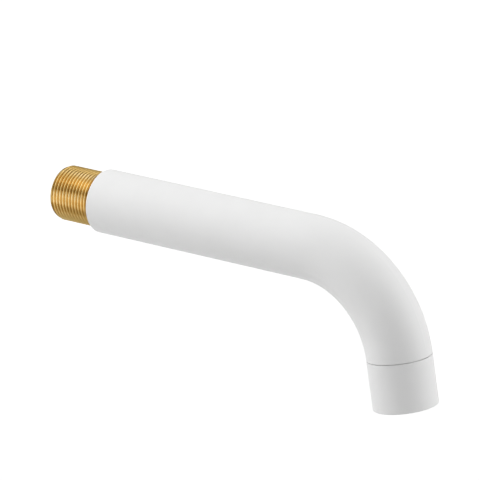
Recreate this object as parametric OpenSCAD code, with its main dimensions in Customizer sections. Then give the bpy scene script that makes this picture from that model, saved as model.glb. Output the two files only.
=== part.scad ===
// Wall spout: a bent tube with a male thread at the wall end and a screwed-on outlet sleeve.
// Units are millimetres. The origin is the centre of the tube's wall-end face.
// The wall is at +Y, the spout reaches towards -Y, and +Z is up.

/* [Tube] */
// Outside diameter of the tube and of the outlet sleeve
tube_d = 30.4; // [29.6:0.2:34]
// Wall thickness of the tube
tube_wall = 2.0; // [1.8:0.1:2.2]
// Straight run from the wall-end face to the start of the bend
straight_len = 118.3; // [80:0.1:200]
// Radius of the bend, measured at the tube's centre line
bend_radius = 50.8; // [44:0.2:80]
// Angle of the bend from level towards straight down
bend_angle = 80.3; // [60:0.1:90]
// Rounding of the tube's outer edge at the wall end
end_round = 0.9; // [0.2:0.1:1.2]

/* [Inlet nipple] */
// Major diameter of the male pipe thread
thread_d = 26.2; // [25.4:0.001:26.5]
// Thread pitch, fourteen turns to the inch
thread_pitch = 1.8143; // [1.4:0.0001:2.2]
// Thread depth from crest to root
thread_depth = 1.162; // [0.8:0.001:1.2]
// Length of the thread beyond the tube's end face, lead chamfer included
thread_len = 23.2; // [19:0.1:26]
// Plain full-diameter land between the end face and the first groove
runout_len = 1.2; // [1:0.1:1.6]
// Depth of the lead chamfer, measured inwards from the crests
lead_depth = 0.9; // [0.8:0.05:1.6]
// Length of the lead chamfer along the axis
lead_len = 2.0; // [0.8:0.1:3]
// Diameter of the waterway through the nipple
inlet_bore_d = 19.2; // [16:0.1:20]
// Chamfer at both ends of that waterway
inlet_bore_chamfer = 0.8; // [0.4:0.1:1]
// Length of the plain plug that sits inside the tube
plug_len = 12; // [8:0.5:20]

/* [Sockets] */
// Wall left around the sockets that take the nipple and the bush
socket_wall = 1.5; // [1.3:0.05:1.5]
// Depth of the socket for the bush at the outlet end
bush_socket_len = 5; // [4:0.1:6]
// Radial gap of the brazed joints
braze_gap = 0.05; // [0.02:0.01:0.08]

/* [Outlet sleeve] */
// Length of the straight outlet part, from the tube's end to the rim
outlet_len = 23.4; // [22.5:0.1:28]
// Width of the fine groove between the tube and the sleeve
seam_gap = 0.4; // [0.3:0.05:0.6]
// Depth of that groove
seam_depth = 0.8; // [0.6:0.05:0.9]
// Wall of the sleeve around the screwed joint
sleeve_wall = 1.8; // [1.8:0.05:2]
// Radial gap of the screwed joint
screw_gap = 0.1; // [0.05:0.01:0.15]
// Rounding of the rim's outer edge
rim_round = 0.4; // [0.2:0.1:0.8]
// Width of the chamfer inside the rim
mouth_chamfer = 1.0; // [0.6:0.1:1.2]

/* [Outlet bush] */
// Length of the spigot that the sleeve screws on
spigot_len = 7; // [6:0.1:7.5]
// Wall of the bush around its waterway, at the spigot
bush_wall = 2.8; // [2.6:0.1:3.1]
// Lead-in chamfer at the top of the bush
bush_lead = 1.5; // [1:0.1:2]

/* [Aerator] */
// Thickness of the flat seal above the aerator
washer_t = 1.5; // [1:0.1:2]
// How far the seal stands into the waterway, past the bush
washer_lip = 0.3; // [0.1:0.1:0.5]
// Thickness of the housing's flange
flange_t = 1.8; // [1.4:0.1:2.2]
// Width of the ledge that carries the flange
ledge_w = 1.0; // [0.8:0.05:1.2]
// Radial gap around the aerator housing
housing_gap = 0.2; // [0.1:0.05:0.3]
// Wall of the aerator housing
housing_wall = 1.2; // [1:0.05:1.4]
// Length of the housing, flange included
housing_len = 11.7; // [11:0.1:12]
// Chamfer on both edges of the housing's lower end
housing_chamfer = 0.25; // [0.2:0.05:0.4]
// Radial gap around the pieces inside the housing
insert_gap = 0.05; // [0.03:0.01:0.1]
// Width of the steps that carry the jet plate and the grid
step_w = 0.7; // [0.5:0.05:0.8]
// Thickness of the jet plate
jet_plate_t = 2; // [1.6:0.1:2.2]
// Diameter of the jets in that plate
jet_d = 1.3; // [1:0.05:1.4]
// Number of jets in the outer ring
outer_jets = 20; // [12:1:22]
// Number of jets in the inner ring
inner_jets = 10; // [6:1:12]
// Distance from the chamber's wall to the outer ring of jets
jet_inset = 2.1; // [1.6:0.1:2.4]
// Distance between the two rings of jets
jet_ring_step = 3.1; // [2.6:0.1:3.4]
// Distance from the housing's top face down to the filter's rim
filter_drop = 0.5; // [0.3:0.1:0.7]
// Thickness of the filter's rim
filter_rim_t = 1; // [0.8:0.1:1.2]
// Radial room between the filter and the bush
filter_gap = 1.2; // [1:0.1:1.6]
// How much narrower the filter's radius is at its top
filter_taper = 2.6; // [2:0.1:3]
// Height of the filter above its rim
filter_h = 5; // [4:0.1:5.4]
// Wall of the filter
filter_wall = 0.8; // [0.7:0.05:0.9]
// Number of slots around the filter
filter_slots = 16; // [10:1:18]
// Width of each slot
filter_slot_w = 0.8; // [0.5:0.05:0.9]
// Solid band left above the slots, at the filter's top
slot_top_band = 1.4; // [1:0.1:1.6]
// Solid band left below the slots, at the filter's rim
slot_rim_band = 0.8; // [0.6:0.1:1]
// How far the slots reach inwards from the filter's top edge
slot_inset = 1.6; // [1.2:0.1:2]
// Height of the honeycomb grid
grid_h = 3.2; // [2.4:0.1:3.4]
// Width of one honeycomb cell across its flats
cell_w = 1.9; // [1.7:0.05:2.2]
// Web between two cells
cell_web = 0.45; // [0.4:0.05:0.6]
// Solid rim around the honeycomb
grid_rim = 0.9; // [0.8:0.05:1.2]
// Distance from the grid's face up to the bottom of the housing
grid_recess = 0.6; // [0.4:0.1:0.8]

/* [Hidden] */
tube_r = tube_d / 2;
tube_ir = tube_r - tube_wall;
socket_r = tube_r - socket_wall;
plug_r = socket_r - braze_gap;
thread_r = thread_d / 2;
root_r = thread_r - thread_depth;
inlet_bore_r = inlet_bore_d / 2;
// flank width of a fifty-five degree thread form, and the flat crest left between two flanks
flank_w = thread_depth * tan(27.5);
flat_w = (thread_pitch - 2 * flank_w) / 2;
grooves = round((thread_len - runout_len) / thread_pitch);
sleeve_bore_r = tube_r - sleeve_wall;
spigot_r = sleeve_bore_r - screw_gap;
bush_bore_r = spigot_r - bush_wall;
collar_r = tube_r - seam_depth;
washer_top = seam_gap + spigot_len;
housing_top = washer_top + washer_t;
ledge_at = housing_top + flange_t;
flange_r = sleeve_bore_r - housing_gap;
mouth_r = sleeve_bore_r - ledge_w;
body_r = mouth_r - housing_gap;
seat_r = body_r - housing_wall;
insert_r = seat_r - insert_gap;
chamber_r = seat_r - step_w;
filter_at = housing_top + filter_drop;
filter_top_at = filter_at - filter_h;
jet_plate_at = filter_at + filter_rim_t;
jet_step_at = jet_plate_at + jet_plate_t;
housing_end = housing_top + housing_len;
grid_end = housing_end - grid_recess;
grid_at = grid_end - grid_h;
filter_r = bush_bore_r - filter_gap;
filter_top_r = filter_r - filter_taper;
cell_r = cell_w / 2 / cos(30);
cell_step = cell_w + cell_web;
cell_row = cell_step * cos(30);
cell_reach = insert_r - grid_rim - cell_r;
cell_rings = ceil(cell_reach / cell_row) + 1;
// how far a cutting shape runs on past what it cuts
cut = 1;
round_steps = 5;
fine = 120;
small = 48;

// points of a rounded corner of radius r about [cx, cy]
function quarter(cx, cy, r, from, to) =
    [for (i = [0 : round_steps]) let(a = from + (to - from) * i / round_steps)
        [cx + r * cos(a), cy + r * sin(a)]];

// places a child at the outlet end of the bend, with local +Z along the flow
module at_outlet() {
    translate([0, -straight_len - bend_radius * sin(bend_angle), -bend_radius * (1 - cos(bend_angle))])
        rotate([90 + bend_angle, 0, 0])
            children();
}

// the bend as a solid round bar of radius r, swept round its centre
module bend_round(r) {
    translate([0, -straight_len, -bend_radius])
        rotate([180, -90, 0])
            rotate_extrude(angle = bend_angle, $fn = fine)
                translate([bend_radius, 0])
                    circle(r = r, $fn = fine);
}

// the outside of the straight run, revolved so its wall-end edge is rounded
module straight_outside() {
    rotate([90, 0, 0])
        rotate_extrude($fn = fine)
            polygon(concat(
                [[0, straight_len], [0, 0]],
                quarter(tube_r - end_round, end_round, end_round, -90, 0),
                [[tube_r, straight_len]]));
}

module straight_bore(r, length) {
    rotate([90, 0, 0])
        cylinder(r = r, h = length, $fn = fine);
}

module spout_tube() {
    color([0.93, 0.93, 0.92])
        difference() {
            union() {
                straight_outside();
                bend_round(tube_r);
                // turned collar that the sleeve stops against, leaving the fine groove
                at_outlet()
                    translate([0, 0, -cut])
                        cylinder(r = collar_r, h = cut + seam_gap, $fn = fine);
            }
            union() {
                straight_bore(tube_ir, straight_len);
                bend_round(tube_ir);
            }
            // socket for the nipple
            straight_bore(socket_r, plug_len);
            // socket for the bush, cut through the collar too
            at_outlet()
                translate([0, 0, -bush_socket_len])
                    cylinder(r = socket_r, h = bush_socket_len + seam_gap + cut, $fn = fine);
        }
}

// one thread groove, from the crest before it to the crest after it
function groove_points(i) = let(y0 = runout_len + i * thread_pitch)
    [[thread_r, y0], [root_r, y0 + flank_w], [root_r, y0 + flank_w + flat_w],
        [thread_r, y0 + 2 * flank_w + flat_w]];

function thread_points() = [for (i = [0 : grooves - 1]) for (p = groove_points(i)) p];

module thread_outside() {
    // the lead cone cuts across the last crests
    rotate([-90, 0, 0])
        intersection() {
            rotate_extrude($fn = fine)
                polygon(concat(
                    [[0, -plug_len], [plug_r, -plug_len], [plug_r, 0], [thread_r, 0]],
                    thread_points(),
                    [[thread_r, thread_len], [0, thread_len]]));
            rotate_extrude($fn = fine)
                polygon([[0, -plug_len], [plug_r + cut, -plug_len], [plug_r + cut, 0],
                    [thread_r, thread_len - lead_len], [thread_r - lead_depth, thread_len],
                    [0, thread_len]]);
        }
}

module inlet_nipple() {
    chamfer_end_r = inlet_bore_r + inlet_bore_chamfer + cut;
    color([0.80, 0.62, 0.30])
        difference() {
            thread_outside();
            rotate([-90, 0, 0])
                rotate_extrude($fn = fine)
                    polygon([[0, -plug_len - cut], [chamfer_end_r, -plug_len - cut],
                        [inlet_bore_r, -plug_len + inlet_bore_chamfer],
                        [inlet_bore_r, thread_len - inlet_bore_chamfer],
                        [chamfer_end_r, thread_len + cut], [0, thread_len + cut]]);
        }
}

module outlet_bush() {
    color([0.80, 0.62, 0.30])
        at_outlet()
            rotate_extrude($fn = fine)
                polygon([[bush_bore_r + bush_lead, -bush_socket_len], [plug_r, -bush_socket_len],
                    [plug_r, seam_gap], [spigot_r, seam_gap], [spigot_r, washer_top],
                    [bush_bore_r, washer_top], [bush_bore_r, bush_lead - bush_socket_len]]);
}

module outlet_sleeve() {
    color([0.93, 0.93, 0.92])
        at_outlet()
            rotate_extrude($fn = fine)
                polygon(concat(
                    [[sleeve_bore_r, seam_gap], [tube_r, seam_gap]],
                    quarter(tube_r - rim_round, outlet_len - rim_round, rim_round, 0, 90),
                    [[mouth_r + mouth_chamfer, outlet_len], [mouth_r, outlet_len - mouth_chamfer],
                        [mouth_r, ledge_at], [sleeve_bore_r, ledge_at]]));
}

module aerator_washer() {
    color([0.12, 0.12, 0.12])
        at_outlet()
            translate([0, 0, washer_top])
                difference() {
                    cylinder(r = flange_r, h = washer_t, $fn = fine);
                    translate([0, 0, -cut])
                        cylinder(r = bush_bore_r - washer_lip, h = washer_t + 2 * cut, $fn = fine);
                }
}

module aerator_filter() {
    inner_r = filter_r - filter_wall;
    color([0.75, 0.75, 0.74])
        at_outlet()
            difference() {
                rotate_extrude($fn = fine)
                    polygon([[0, filter_top_at], [filter_top_r, filter_top_at],
                        [filter_r, filter_at], [insert_r, filter_at], [insert_r, jet_plate_at],
                        [inner_r, jet_plate_at], [inner_r, filter_at],
                        [filter_top_r - filter_wall, filter_top_at + filter_wall],
                        [0, filter_top_at + filter_wall]]);
                for (i = [0 : filter_slots - 1])
                    rotate([0, 0, i * 360 / filter_slots])
                        translate([filter_top_r - slot_inset, -filter_slot_w / 2,
                            filter_top_at + slot_top_band])
                            cube([slot_inset + filter_taper + cut, filter_slot_w,
                                filter_h - slot_top_band - slot_rim_band]);
            }
}

module jet_ring(count, ring_r) {
    for (i = [0 : count - 1])
        rotate([0, 0, i * 360 / count])
            translate([ring_r, 0, jet_plate_at - cut])
                cylinder(d = jet_d, h = jet_plate_t + 2 * cut, $fn = small);
}

module aerator_jet_plate() {
    color([0.85, 0.85, 0.84])
        at_outlet()
            difference() {
                translate([0, 0, jet_plate_at])
                    cylinder(r = insert_r, h = jet_plate_t, $fn = fine);
                jet_ring(outer_jets, chamber_r - jet_inset);
                jet_ring(inner_jets, chamber_r - jet_inset - jet_ring_step);
            }
}

module aerator_housing() {
    chamfer_at = housing_end - housing_chamfer;
    color([0.88, 0.88, 0.87])
        at_outlet()
            rotate_extrude($fn = fine)
                polygon([[seat_r, housing_top], [flange_r, housing_top], [flange_r, ledge_at],
                    [body_r, ledge_at], [body_r, chamfer_at], [body_r - housing_chamfer, housing_end],
                    [seat_r + housing_chamfer, housing_end], [seat_r, chamfer_at], [seat_r, grid_at],
                    [chamber_r, grid_at], [chamber_r, jet_step_at], [seat_r, jet_step_at]]);
}

module honeycomb() {
    for (row = [-cell_rings : cell_rings])
        for (col = [-cell_rings : cell_rings])
            let(x = col * cell_step + (abs(row) % 2) * cell_step / 2, y = row * cell_row)
                if (sqrt(x * x + y * y) < cell_reach)
                    translate([x, y, grid_at - cut])
                        rotate([0, 0, 30])
                            cylinder(r = cell_r, h = grid_h + 2 * cut, $fn = 6);
}

module aerator_grid() {
    color([0.88, 0.88, 0.87])
        at_outlet()
            difference() {
                translate([0, 0, grid_at])
                    cylinder(r = insert_r, h = grid_h, $fn = fine);
                honeycomb();
            }
}

spout_tube();
inlet_nipple();
outlet_bush();
outlet_sleeve();
aerator_washer();
aerator_filter();
aerator_jet_plate();
aerator_housing();
aerator_grid();
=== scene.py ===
import math
import bmesh
import bpy
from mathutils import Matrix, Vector


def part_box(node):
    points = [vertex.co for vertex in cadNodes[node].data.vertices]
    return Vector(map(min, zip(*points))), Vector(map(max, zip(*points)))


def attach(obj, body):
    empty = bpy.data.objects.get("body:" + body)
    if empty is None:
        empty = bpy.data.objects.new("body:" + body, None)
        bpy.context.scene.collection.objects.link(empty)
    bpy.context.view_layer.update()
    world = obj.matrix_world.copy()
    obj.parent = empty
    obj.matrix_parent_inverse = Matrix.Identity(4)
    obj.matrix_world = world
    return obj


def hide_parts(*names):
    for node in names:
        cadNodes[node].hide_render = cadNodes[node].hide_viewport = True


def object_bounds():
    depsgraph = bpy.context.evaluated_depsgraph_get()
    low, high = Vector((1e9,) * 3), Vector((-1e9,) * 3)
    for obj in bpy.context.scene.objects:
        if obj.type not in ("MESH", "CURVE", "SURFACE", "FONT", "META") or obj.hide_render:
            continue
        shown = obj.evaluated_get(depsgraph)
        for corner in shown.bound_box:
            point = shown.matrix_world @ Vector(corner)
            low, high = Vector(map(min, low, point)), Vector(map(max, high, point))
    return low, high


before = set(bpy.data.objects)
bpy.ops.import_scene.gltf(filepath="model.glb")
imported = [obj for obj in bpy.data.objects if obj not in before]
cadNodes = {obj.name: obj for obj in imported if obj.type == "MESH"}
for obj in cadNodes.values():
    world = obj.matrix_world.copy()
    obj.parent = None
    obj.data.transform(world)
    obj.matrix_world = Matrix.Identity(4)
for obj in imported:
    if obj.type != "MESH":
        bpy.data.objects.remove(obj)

cadLow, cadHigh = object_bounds()
mm = 0.001


def say(stage):
    print("stage:", stage)


# camera

shot = {
    "azimuth": -53.44,  # degrees, from straight in front towards the spout's left side
    "elevation": 17.8,
    "distance": 1990.4,  # mm from the aim point
    "aim": (0, -110, -25),
    "slideRight": -24.98,  # mm, without turning the camera
    "slideUp": 25.3,
    "focal": 4351,  # in pixels of a frame this wide:
    "frameWidth": 480,
    "sensorWidth": 36,  # mm
    "farClip": 20,  # metres
}


def directionAt(azimuth, elevation):
    a = math.radians(azimuth)
    e = math.radians(elevation)
    return Vector((math.sin(a) * math.cos(e), -math.cos(a) * math.cos(e), math.sin(e)))


def makeCamera():
    back = directionAt(shot["azimuth"], shot["elevation"])
    right = Vector((0, 0, 1)).cross(back).normalized()
    up = back.cross(right)
    camera = bpy.data.cameras.new("camera")
    camera.sensor_fit = "HORIZONTAL"
    camera.sensor_width = shot["sensorWidth"]
    camera.lens = shot["sensorWidth"] * shot["focal"] / shot["frameWidth"]
    camera.clip_end = shot["farClip"]
    holder = bpy.data.objects.new("camera", camera)
    bpy.context.scene.collection.objects.link(holder)
    spot = Vector(shot["aim"]) + back * shot["distance"]
    holder.location = (spot + right * shot["slideRight"] + up * shot["slideUp"]) * mm
    holder.rotation_euler = (-back).to_track_quat("-Z", "Y").to_euler()
    bpy.context.scene.camera = holder


makeCamera()
say("camera")


# materials

fineDetail = 2  # octaves of the finest noises


def startMaterial(name):
    material = bpy.data.materials.new(name)
    material.use_nodes = True
    tree = material.node_tree
    tree.nodes.clear()
    output = tree.nodes.new("ShaderNodeOutputMaterial")
    shader = tree.nodes.new("ShaderNodeBsdfPrincipled")
    tree.links.new(shader.outputs["BSDF"], output.inputs["Surface"])
    place = tree.nodes.new("ShaderNodeTexCoord")
    return material, tree, shader, place.outputs["Object"]


def addNoise(tree, place, scale, detail=3, stretch=(1, 1, 1)):
    mapping = tree.nodes.new("ShaderNodeMapping")
    mapping.inputs["Scale"].default_value = stretch
    noise = tree.nodes.new("ShaderNodeTexNoise")
    noise.inputs["Scale"].default_value = scale
    noise.inputs["Detail"].default_value = detail
    tree.links.new(place, mapping.inputs["Vector"])
    tree.links.new(mapping.outputs["Vector"], noise.inputs["Vector"])
    return noise.outputs["Fac"]


def addRamp(tree, value, stops):
    ramp = tree.nodes.new("ShaderNodeValToRGB")
    while len(ramp.color_ramp.elements) < len(stops):
        ramp.color_ramp.elements.new(0.5)
    for element, (position, colour) in zip(ramp.color_ramp.elements, stops):
        element.position = position
        element.color = (*colour, 1)
    tree.links.new(value, ramp.inputs["Fac"])
    return ramp.outputs["Color"]


def addRange(tree, value, low, high, source=(0, 1)):
    span = tree.nodes.new("ShaderNodeMapRange")
    span.inputs["From Min"].default_value = source[0]
    span.inputs["From Max"].default_value = source[1]
    span.inputs["To Min"].default_value = low
    span.inputs["To Max"].default_value = high
    tree.links.new(value, span.inputs["Value"])
    return span.outputs["Result"]


def addProduct(tree, first, second):
    product = tree.nodes.new("ShaderNodeVectorMath")
    product.operation = "MULTIPLY"
    tree.links.new(first, product.inputs[0])
    tree.links.new(second, product.inputs[1])
    return product.outputs["Vector"]


def addMath(tree, operation, first, second):
    result = tree.nodes.new("ShaderNodeMath")
    result.operation = operation
    tree.links.new(first, result.inputs[0])
    tree.links.new(second, result.inputs[1])
    return result.outputs[0]


def addLength(tree, vector):
    length = tree.nodes.new("ShaderNodeVectorMath")
    length.operation = "LENGTH"
    tree.links.new(vector, length.inputs[0])
    return length.outputs["Value"]


def addBump(tree, shader, height, strength, distance):
    bump = tree.nodes.new("ShaderNodeBump")
    bump.inputs["Strength"].default_value = strength
    bump.inputs["Distance"].default_value = distance
    tree.links.new(height, bump.inputs["Height"])
    tree.links.new(bump.outputs["Normal"], shader.inputs["Normal"])


coatingLook = {
    "colour": (0.86, 0.86, 0.857),
    "shade": (0.845, 0.845, 0.842),
    "cloudScale": 60,  # slow drift between the two colours
    "cloudSpan": (0.35, 0.65),
    "roughness": (0.58, 0.66),
    "gloss": 0.18,  # a matt coat, so well under the shader's usual 0.5
    "peelScale": 900,  # fine orange peel of the sprayed coat
    "peelStrength": 0.25,
    "peelDepth": 0.00002,
}


def makeCoating(name):
    look = coatingLook
    material, tree, shader, place = startMaterial(name)
    cloud = addNoise(tree, place, look["cloudScale"])
    ends = zip(look["cloudSpan"], (look["shade"], look["colour"]))
    tree.links.new(addRamp(tree, cloud, list(ends)), shader.inputs["Base Color"])
    tree.links.new(addRange(tree, cloud, *look["roughness"]), shader.inputs["Roughness"])
    shader.inputs["Specular IOR Level"].default_value = look["gloss"]
    peel = addNoise(tree, place, look["peelScale"], fineDetail)
    addBump(tree, shader, peel, look["peelStrength"], look["peelDepth"])
    return material


brassLook = {
    "tones": [
        (0.36, (0.54, 0.354, 0.117)), (0.50, (0.72, 0.50, 0.19)), (0.66, (0.90, 0.695, 0.36)),
    ],
    "cloudScale": 150,
    "cloudStretch": (1, 0.12, 1),  # drawn out along the axis
    "edge": (0.20, 0.17, 0.10),  # tint where the surface turns away, kept dark: painted shade along the metal's outline
    "root": (0.86, 0.82, 0.74),  # how far the thread's roots darken: painted shade in the recesses, with some oil and dirt
    "rootSpan": (0.01194, 0.0129),  # metres from the axis: root to just under the crest
    "roughness": (0.27, 0.40),
    "paintedReflectionSpan": (-0.0131, 0.0131),  # metres of height, from the thread's underside to its top
    "paintedReflectionTones": [  # painted reflections and shade: dark and bright bands along the turned metal, bottom to top
        (0, 0.69), (0.14, 0.67), (0.27, 0.85), (0.54, 1), (0.72, 0.63), (0.86, 0.88), (1, 0.54),
    ],
    "leadSpan": (0.0216, 0.0232),  # the base colour darkens towards the thread's front end
    "leadTone": 0.55,
    "toolScale": 5200,  # marks the cutting tool leaves round the axis
    "toolStretch": (0.02, 1, 0.02),
    "toolStrength": 0.4,
    "toolDepth": 0.000012,
}


def addAxisRadius(tree, place):
    # distance of a point from the inlet's axis, which is the object's own Y
    flat = tree.nodes.new("ShaderNodeVectorMath")
    flat.operation = "MULTIPLY"
    flat.inputs[1].default_value = (1, 0, 1)
    tree.links.new(place, flat.inputs[0])
    return addLength(tree, flat.outputs["Vector"])


def makeBrass(name):
    look = brassLook
    material, tree, shader, place = startMaterial(name)
    cloud = addNoise(tree, place, look["cloudScale"], stretch=look["cloudStretch"])
    tone = addRamp(tree, cloud, look["tones"])
    # painted shade in the thread's roots, with some oil and dirt: darker towards the axis
    depth = addRange(tree, addAxisRadius(tree, place), 0, 1, look["rootSpan"])
    tone = addProduct(tree, tone, addRamp(tree, depth, [(0, look["root"]), (1, (1, 1, 1))]))
    split = tree.nodes.new("ShaderNodeSeparateXYZ")
    tree.links.new(place, split.inputs["Vector"])
    # painted reflections and shade: bright and dark bands by height, standing for the surroundings
    # mirrored in the metal
    height = addRange(tree, split.outputs["Z"], 0, 1, look["paintedReflectionSpan"])
    paintedReflectionStops = [(spot, (level, level, level)) for spot, level in look["paintedReflectionTones"]]
    tone = addProduct(tree, tone, addRamp(tree, height, paintedReflectionStops))
    # the base colour darkens towards the thread's front end
    front = addRange(tree, split.outputs["Y"], 1, look["leadTone"], look["leadSpan"])
    tone = addProduct(tree, tone, front)
    tree.links.new(tone, shader.inputs["Base Color"])
    tree.links.new(addRange(tree, cloud, *look["roughness"]), shader.inputs["Roughness"])
    shader.inputs["Metallic"].default_value = 1
    # dark edge tint: painted shade along the metal's outline
    shader.inputs["Specular Tint"].default_value = (*look["edge"], 1)
    marks = addNoise(tree, place, look["toolScale"], fineDetail, look["toolStretch"])
    addBump(tree, shader, marks, look["toolStrength"], look["toolDepth"])
    return material


plainLooks = {
    "sealRubber": {"colour": (0.03, 0.03, 0.03), "roughness": 0.75, "grain": 1800},
    "filterPlastic": {"colour": (0.55, 0.56, 0.57), "roughness": 0.5, "grain": 1200},
    "jetPlastic": {"colour": (0.74, 0.74, 0.73), "roughness": 0.45, "grain": 1200},
    "housingPlastic": {"colour": (0.76, 0.76, 0.75), "roughness": 0.4, "grain": 1200},
}
plainFinish = {  # what the rubber and the plastics share
    "cloudScale": 220,
    "cloudSpan": (0.3, 0.7),
    "shade": 0.93,  # of the colour, at its darkest
    "roughnessDrift": 0.04,
    "grainStrength": 0.2,
    "grainDepth": 0.00002,
}


def makePlain(name):
    look = plainLooks[name]
    shared = plainFinish
    material, tree, shader, place = startMaterial(name)
    cloud = addNoise(tree, place, shared["cloudScale"])
    darker = tuple(shared["shade"] * c for c in look["colour"])
    ends = zip(shared["cloudSpan"], (darker, look["colour"]))
    tree.links.new(addRamp(tree, cloud, list(ends)), shader.inputs["Base Color"])
    rough = look["roughness"]
    drift = shared["roughnessDrift"]
    tree.links.new(addRange(tree, cloud, rough - drift, rough + drift), shader.inputs["Roughness"])
    grain = addNoise(tree, place, look["grain"], fineDetail)
    addBump(tree, shader, grain, shared["grainStrength"], shared["grainDepth"])
    return material


coating = makeCoating("whiteCoating")
brass = makeBrass("turnedBrass")
nodeFinish = {
    "spout_tube": coating,
    "outlet_sleeve": coating,
    "outlet_bush": brass,
    "aerator_washer": makePlain("sealRubber"),
    "aerator_filter": makePlain("filterPlastic"),
    "aerator_jet_plate": makePlain("jetPlastic"),
    "aerator_housing": makePlain("housingPlastic"),
    "aerator_grid": makePlain("housingPlastic"),
}
for name, material in nodeFinish.items():
    for holder in cadNodes[name].material_slots:
        holder.material = material
say("materials")


# brass nipple with its helical thread

nipple = {  # mm, radii from the axis
    "crest": 13.1,
    "depth": 1.162,
    "pitch": 1.8143,
    "crestRound": 0.249,  # the roots have the same rounding
    "flankAngle": 27.5,  # degrees from square to the axis
    "runout": 1.2,  # plain length next to the tube
    "fade": 1.1,  # length over which the first groove reaches its full depth
    "leadLength": 2.0,
    "leadDepth": 0.9,
    "bore": 9.6,
    "boreChamfer": 0.8,
    "roundSteps": 144,
    "arcSteps": 3,
    "flankSteps": 2,
    "spareTurns": 2,  # at each end, cut off once the helix is spun
}
sharpAngle = 40  # degrees, past which an edge stays crisp
sameSpot = 1e-6
cutSlack = 1e-7


def roundedArc(middle, peak, side):
    # an arc along the axis that peaks outwards with side 1, and inwards with side -1
    size = nipple
    swing = 90 - size["flankAngle"]
    points = []
    for i in range(size["arcSteps"] + 1):
        a = math.radians(-swing + 2 * swing * i / size["arcSteps"])
        points.append((middle + size["crestRound"] * math.sin(a),
                       peak - side * size["crestRound"] * (1 - math.cos(a))))
    return points


def oneTurn():
    # section of one turn along the axis: a rounded crest, a flank, a rounded root, a flank
    size = nipple
    crestArc = roundedArc(0, size["crest"], 1)
    rootArc = roundedArc(size["pitch"] / 2, size["crest"] - size["depth"], -1)
    nextCrest = (crestArc[0][0] + size["pitch"], crestArc[0][1])
    down = between(crestArc[-1], rootArc[0], size["flankSteps"])
    up = between(rootArc[-1], nextCrest, size["flankSteps"])
    return crestArc + down + rootArc + up


def between(first, last, steps):
    return [tuple(a + (b - a) * k / (steps + 1) for a, b in zip(first, last))
            for k in range(1, steps + 1)]


def radiusOf(vert):
    return math.hypot(vert.co.x, vert.co.z)


def setRadius(vert, radius):
    scale = radius / radiusOf(vert)
    vert.co.x *= scale
    vert.co.z *= scale


def ringFrom(bm, edges, radius, y):
    grown = bmesh.ops.extrude_edge_only(bm, edges=edges)["geom"]
    for vert in grown:
        if isinstance(vert, bmesh.types.BMVert):
            setRadius(vert, radius * mm)
            vert.co.y = y * mm
    return [e for e in grown if isinstance(e, bmesh.types.BMEdge)]


def openEdgesAt(bm, y):
    return [e for e in bm.edges
            if e.is_boundary and all(abs(v.co.y - y * mm) < sameSpot for v in e.verts)]


def finishPiece(bm, name, material):
    mesh = bpy.data.meshes.new(name)
    bm.to_mesh(mesh)
    bm.free()
    mesh.materials.append(material)
    mesh.polygons.foreach_set("use_smooth", [True] * len(mesh.polygons))
    mesh.set_sharp_from_angle(angle=math.radians(sharpAngle))
    piece = bpy.data.objects.new(name, mesh)
    bpy.context.scene.collection.objects.link(piece)
    return piece


def spinHelix(bm, threadEnd):
    size = nipple
    spare = size["spareTurns"]
    chain = []
    for turn in range(-spare, math.ceil(threadEnd / size["pitch"]) + spare):
        for y, radius in oneTurn():
            chain.append(bm.verts.new((radius * mm, (y + turn * size["pitch"]) * mm, 0)))
    edges = [bm.edges.new(pair) for pair in zip(chain, chain[1:])]
    step = (0, size["pitch"] * mm / size["roundSteps"], 0)
    bmesh.ops.spin(bm, geom=chain + edges, cent=(0, 0, 0), axis=(0, 1, 0), dvec=step,
                   angle=2 * math.pi, steps=size["roundSteps"], use_merge=False)
    bmesh.ops.remove_doubles(bm, verts=bm.verts[:], dist=sameSpot)
    for y, normal in ((0, (0, -1, 0)), (threadEnd, (0, 1, 0))):
        bmesh.ops.bisect_plane(bm, geom=bm.verts[:] + bm.edges[:] + bm.faces[:], dist=cutSlack,
                               plane_co=(0, y * mm, 0), plane_no=normal, clear_outer=True)


def shapeEnds(bm, threadEnd):
    # the grooves run out next to the tube, and the crests fall away at the front
    size = nipple
    leadStart = threadEnd - size["leadLength"]
    for vert in bm.verts:
        y = vert.co.y / mm
        grooved = min(max((y - size["runout"]) / size["fade"], 0), 1)
        lead = max(y - leadStart, 0) / size["leadLength"]
        lowest = size["crest"] - size["depth"] * grooved
        highest = size["crest"] - size["leadDepth"] * lead
        setRadius(vert, min(max(radiusOf(vert) / mm, lowest), highest) * mm)


def makeNipple():
    bore = nipple["bore"]
    chamfer = nipple["boreChamfer"]
    low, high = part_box("inlet_nipple")
    plugRadius = high.x / mm
    plugEnd = low.y / mm
    threadEnd = high.y / mm
    bm = bmesh.new()
    spinHelix(bm, threadEnd)
    shapeEnds(bm, threadEnd)
    front = openEdgesAt(bm, threadEnd)
    back = openEdgesAt(bm, 0)
    for radius, y in ((bore + chamfer, threadEnd), (bore, threadEnd - chamfer)):
        front = ringFrom(bm, front, radius, y)
    for radius, y in ((plugRadius, 0), (plugRadius, plugEnd),
                      (bore + chamfer, plugEnd), (bore, plugEnd + chamfer)):
        back = ringFrom(bm, back, radius, y)
    bmesh.ops.bridge_loops(bm, edges=front + back)
    bmesh.ops.recalc_face_normals(bm, faces=bm.faces[:])
    piece = finishPiece(bm, "threadedNipple", brass)
    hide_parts("inlet_nipple")
    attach(piece, "root")


makeNipple()
say("threaded nipple")


# floor, surroundings and lamps

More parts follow.
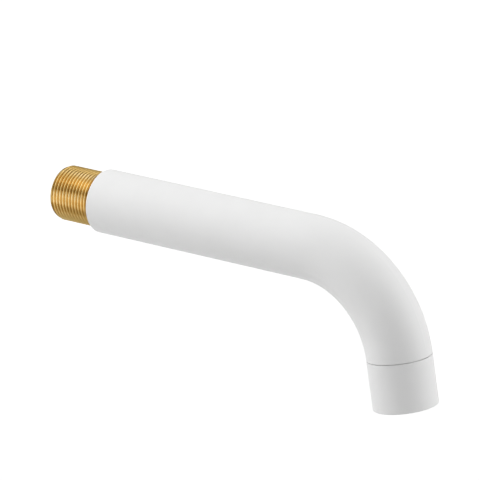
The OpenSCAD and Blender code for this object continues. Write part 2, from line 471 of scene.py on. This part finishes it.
stage = {
    "floorDepth": 0.30,  # metres under the wall end's axis, so the shadow falls below the frame
    "floorSize": 12,
    "floorColour": (0.82, 0.82, 0.82),
    "floorRoughness": 0.9,
    "floorGlow": (0.22, 0.72),  # as the camera sees it: weak round the object, so its shadow stays
    "glowSpan": (0.32, 1.2),  # metres from the origin
    "worldFill": 0.24,
}
lamps = {  # turn from the camera's side and rise, in degrees; size in metres; power in watts
    "top": {"turn": 0, "rise": 80, "size": 1.0, "power": 2.28},
    "frontTop": {"turn": 0, "rise": 45, "size": 0.9, "power": 2.30},
    "left": {"turn": -95, "rise": 12, "size": 0.9, "power": 3.88},
    "right": {"turn": 95, "rise": 12, "size": 0.9, "power": 5.68},
    "rightTop": {"turn": 90, "rise": 50, "size": 0.9, "power": 2.29},
    "leftTop": {"turn": -90, "rise": 50, "size": 0.9, "power": 5.39},
    "leftBack": {"turn": -130, "rise": 18, "size": 0.9, "power": 1.80},
}
lampDistance = 1.2  # metres from the middle of the object


def seenDirectly(tree):
    # one for rays that come straight from the camera, or by way of a mirror or glass
    path = tree.nodes.new("ShaderNodeLightPath")
    total = path.outputs["Is Camera Ray"]
    for name in ("Is Glossy Ray", "Is Transmission Ray"):
        total = addMath(tree, "MAXIMUM", total, path.outputs[name])
    return total


def makeFloor():
    bm = bmesh.new()
    bmesh.ops.create_grid(bm, x_segments=1, y_segments=1, size=stage["floorSize"] / 2)
    bmesh.ops.translate(bm, verts=bm.verts[:], vec=(0, 0, -stage["floorDepth"]))
    material = bpy.data.materials.new("paleFloor")
    material.use_nodes = True
    tree = material.node_tree
    shader = tree.nodes["Principled BSDF"]
    shader.inputs["Base Color"].default_value = (*stage["floorColour"], 1)
    shader.inputs["Roughness"].default_value = stage["floorRoughness"]
    shader.inputs["Emission Color"].default_value = (1, 1, 1, 1)
    place = tree.nodes.new("ShaderNodeTexCoord").outputs["Object"]
    glow = addRange(tree, addLength(tree, place), *stage["floorGlow"], stage["glowSpan"])
    shown = addMath(tree, "MULTIPLY", seenDirectly(tree), glow)
    tree.links.new(shown, shader.inputs["Emission Strength"])
    floor = finishPiece(bm, "floor", material)


def makeWorld():
    world = bpy.data.worlds.new("surroundings")
    world.use_nodes = True
    tree = world.node_tree
    background = tree.nodes["Background"]
    background.inputs["Color"].default_value = (1, 1, 1, 1)
    strength = addRange(tree, seenDirectly(tree), stage["worldFill"], 1)
    tree.links.new(strength, background.inputs["Strength"])
    bpy.context.scene.world = world


def makeLamps():
    middle = (cadLow + cadHigh) / 2
    for name, lamp in lamps.items():
        light = bpy.data.lights.new(name, "AREA")
        light.shape = "SQUARE"
        light.size = lamp["size"]
        light.energy = lamp["power"]
        holder = bpy.data.objects.new(name, light)
        bpy.context.scene.collection.objects.link(holder)
        away = directionAt(shot["azimuth"] + lamp["turn"], lamp["rise"])
        holder.location = middle + away * lampDistance
        holder.rotation_euler = (-away).to_track_quat("-Z", "Y").to_euler()
        holder.visible_camera = False


makeFloor()
makeWorld()
makeLamps()
bpy.context.scene.view_settings.view_transform = "Standard"
say("floor and light")
